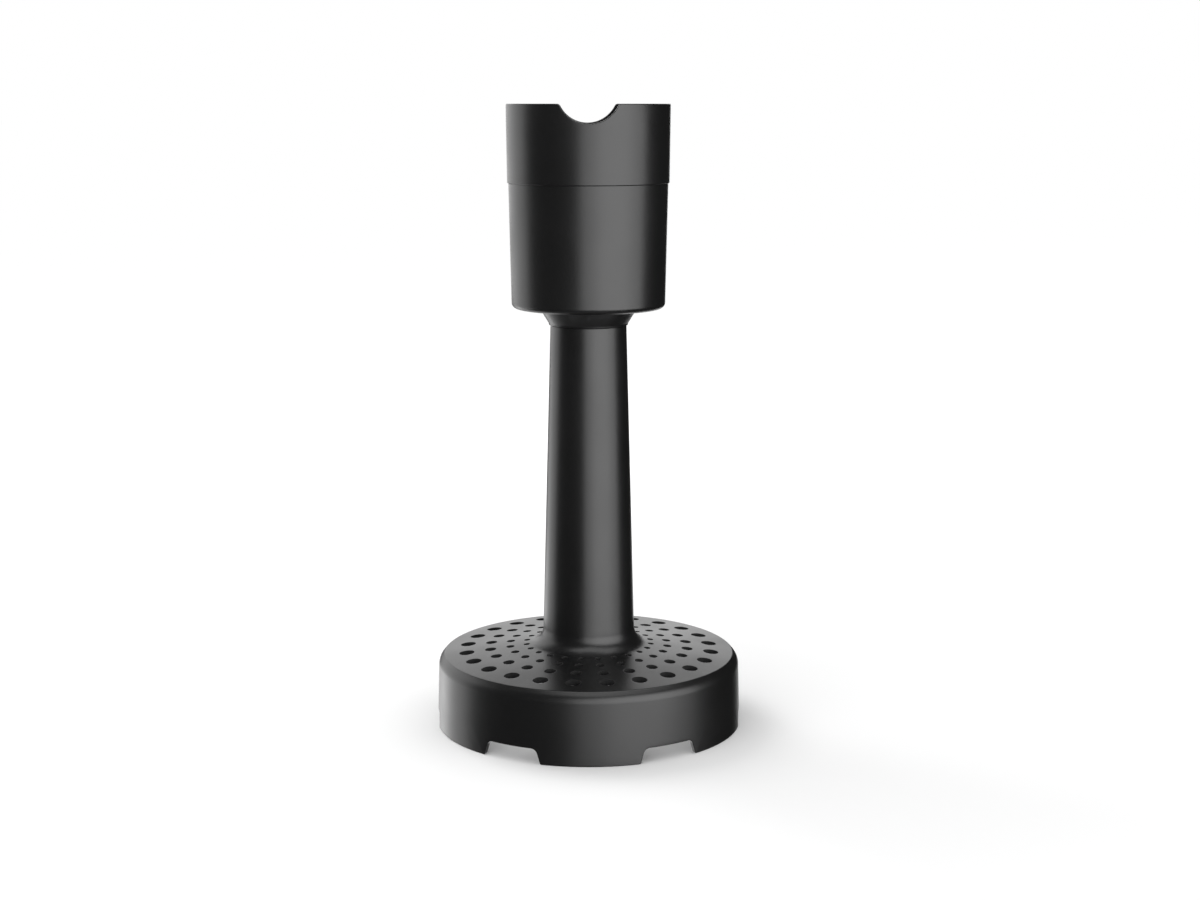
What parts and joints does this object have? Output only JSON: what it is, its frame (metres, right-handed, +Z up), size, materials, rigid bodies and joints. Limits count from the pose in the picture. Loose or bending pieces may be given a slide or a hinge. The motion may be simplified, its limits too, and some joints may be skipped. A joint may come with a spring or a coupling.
{
  "type": "hand blender masher foot",
  "caption": "Potato masher foot for a hand blender: notched bell with a sieve plate and paddle, tapered tube, planetary gearbox and open coupling collar.",
  "frame": {"origin": "middle of the bell's resting edge, on the surface that the foot stands on", "axes": "+Z up along the drive shaft towards the collar; the collar's finger notches face -Y and +Y"},
  "size_m": [0.1046, 0.105, 0.2117],
  "materials": {
    "black_plastic": "satin moulded, fine grain",
    "natural_plastic": "unpainted bearing plastic",
    "steel": "turned and ground",
    "seal_rubber": "matt"
  },
  "bodies": {
    "foot": {"masher_foot": "black_plastic", "hub_plug": "black_plastic", "lower_bush": "natural_plastic", "shaft_seal": "seal_rubber", "upper_bush": "natural_plastic"},
    "drive_line": {"drive_shaft": "steel", "shaft_clips": "steel"},
    "paddle": {"paddle": "black_plastic"},
    "head": {"neck_ring": "black_plastic", "neck_screws": "steel", "neck_o_ring": "seal_rubber", "output_bush": "natural_plastic", "output_seal": "seal_rubber", "thrust_washer": "steel", "gearbox_housing": "black_plastic", "ring_gear": "natural_plastic", "gear_cover": "black_plastic", "cover_screws": "steel", "input_bush": "natural_plastic", "input_seal": "seal_rubber", "coupling_collar": "black_plastic", "collar_screws": "steel"},
    "carrier": {"planet_carrier": "steel", "planet_pins": "steel"},
    "planet_1": {"planet_gear_1": "natural_plastic"},
    "planet_2": {"planet_gear_2": "natural_plastic"},
    "planet_3": {"planet_gear_3": "natural_plastic"},
    "input": {"input_shaft": "steel", "sun_gear": "steel", "input_coupling": "natural_plastic"}
  },
  "joints": [
    {"name": "head_release", "type": "slide", "parent": "foot", "child": "head", "axis": [0, 0, 1], "range_m": [0, 0.034]},
    {"name": "shaft_spin", "type": "hinge", "parent": "foot", "child": "drive_line", "pos_m": [0, 0, 0.07], "axis": [0, 0, 1], "continuous": true},
    {"name": "paddle_release", "type": "slide", "parent": "drive_line", "child": "paddle", "axis": [0, 0, -1], "range_m": [0, 0.015]},
    {"name": "carrier_spin", "type": "hinge", "parent": "head", "child": "carrier", "pos_m": [0, 0, 0.15], "axis": [0, 0, 1], "continuous": true},
    {"name": "input_spin", "type": "hinge", "parent": "head", "child": "input", "pos_m": [0, 0, 0.17], "axis": [0, 0, 1], "continuous": true},
    {"name": "planet_1_spin", "type": "hinge", "parent": "carrier", "child": "planet_1", "pos_m": [0.01125, 0, 0.157], "axis": [0, 0, 1], "continuous": true},
    {"name": "planet_2_spin", "type": "hinge", "parent": "carrier", "child": "planet_2", "pos_m": [-0.00562, 0.00974, 0.157], "axis": [0, 0, 1], "continuous": true},
    {"name": "planet_3_spin", "type": "hinge", "parent": "carrier", "child": "planet_3", "pos_m": [-0.00562, -0.00974, 0.157], "axis": [0, 0, 1], "continuous": true}
  ],
  "couplings": [
    {"joint": "carrier_spin", "follows": "shaft_spin", "ratio": 1},
    {"joint": "input_spin", "follows": "shaft_spin", "ratio": 5},
    {"joint": "planet_1_spin", "follows": "shaft_spin", "ratio": -2.6667},
    {"joint": "planet_2_spin", "follows": "shaft_spin", "ratio": -2.6667},
    {"joint": "planet_3_spin", "follows": "shaft_spin", "ratio": -2.6667}
  ]
}
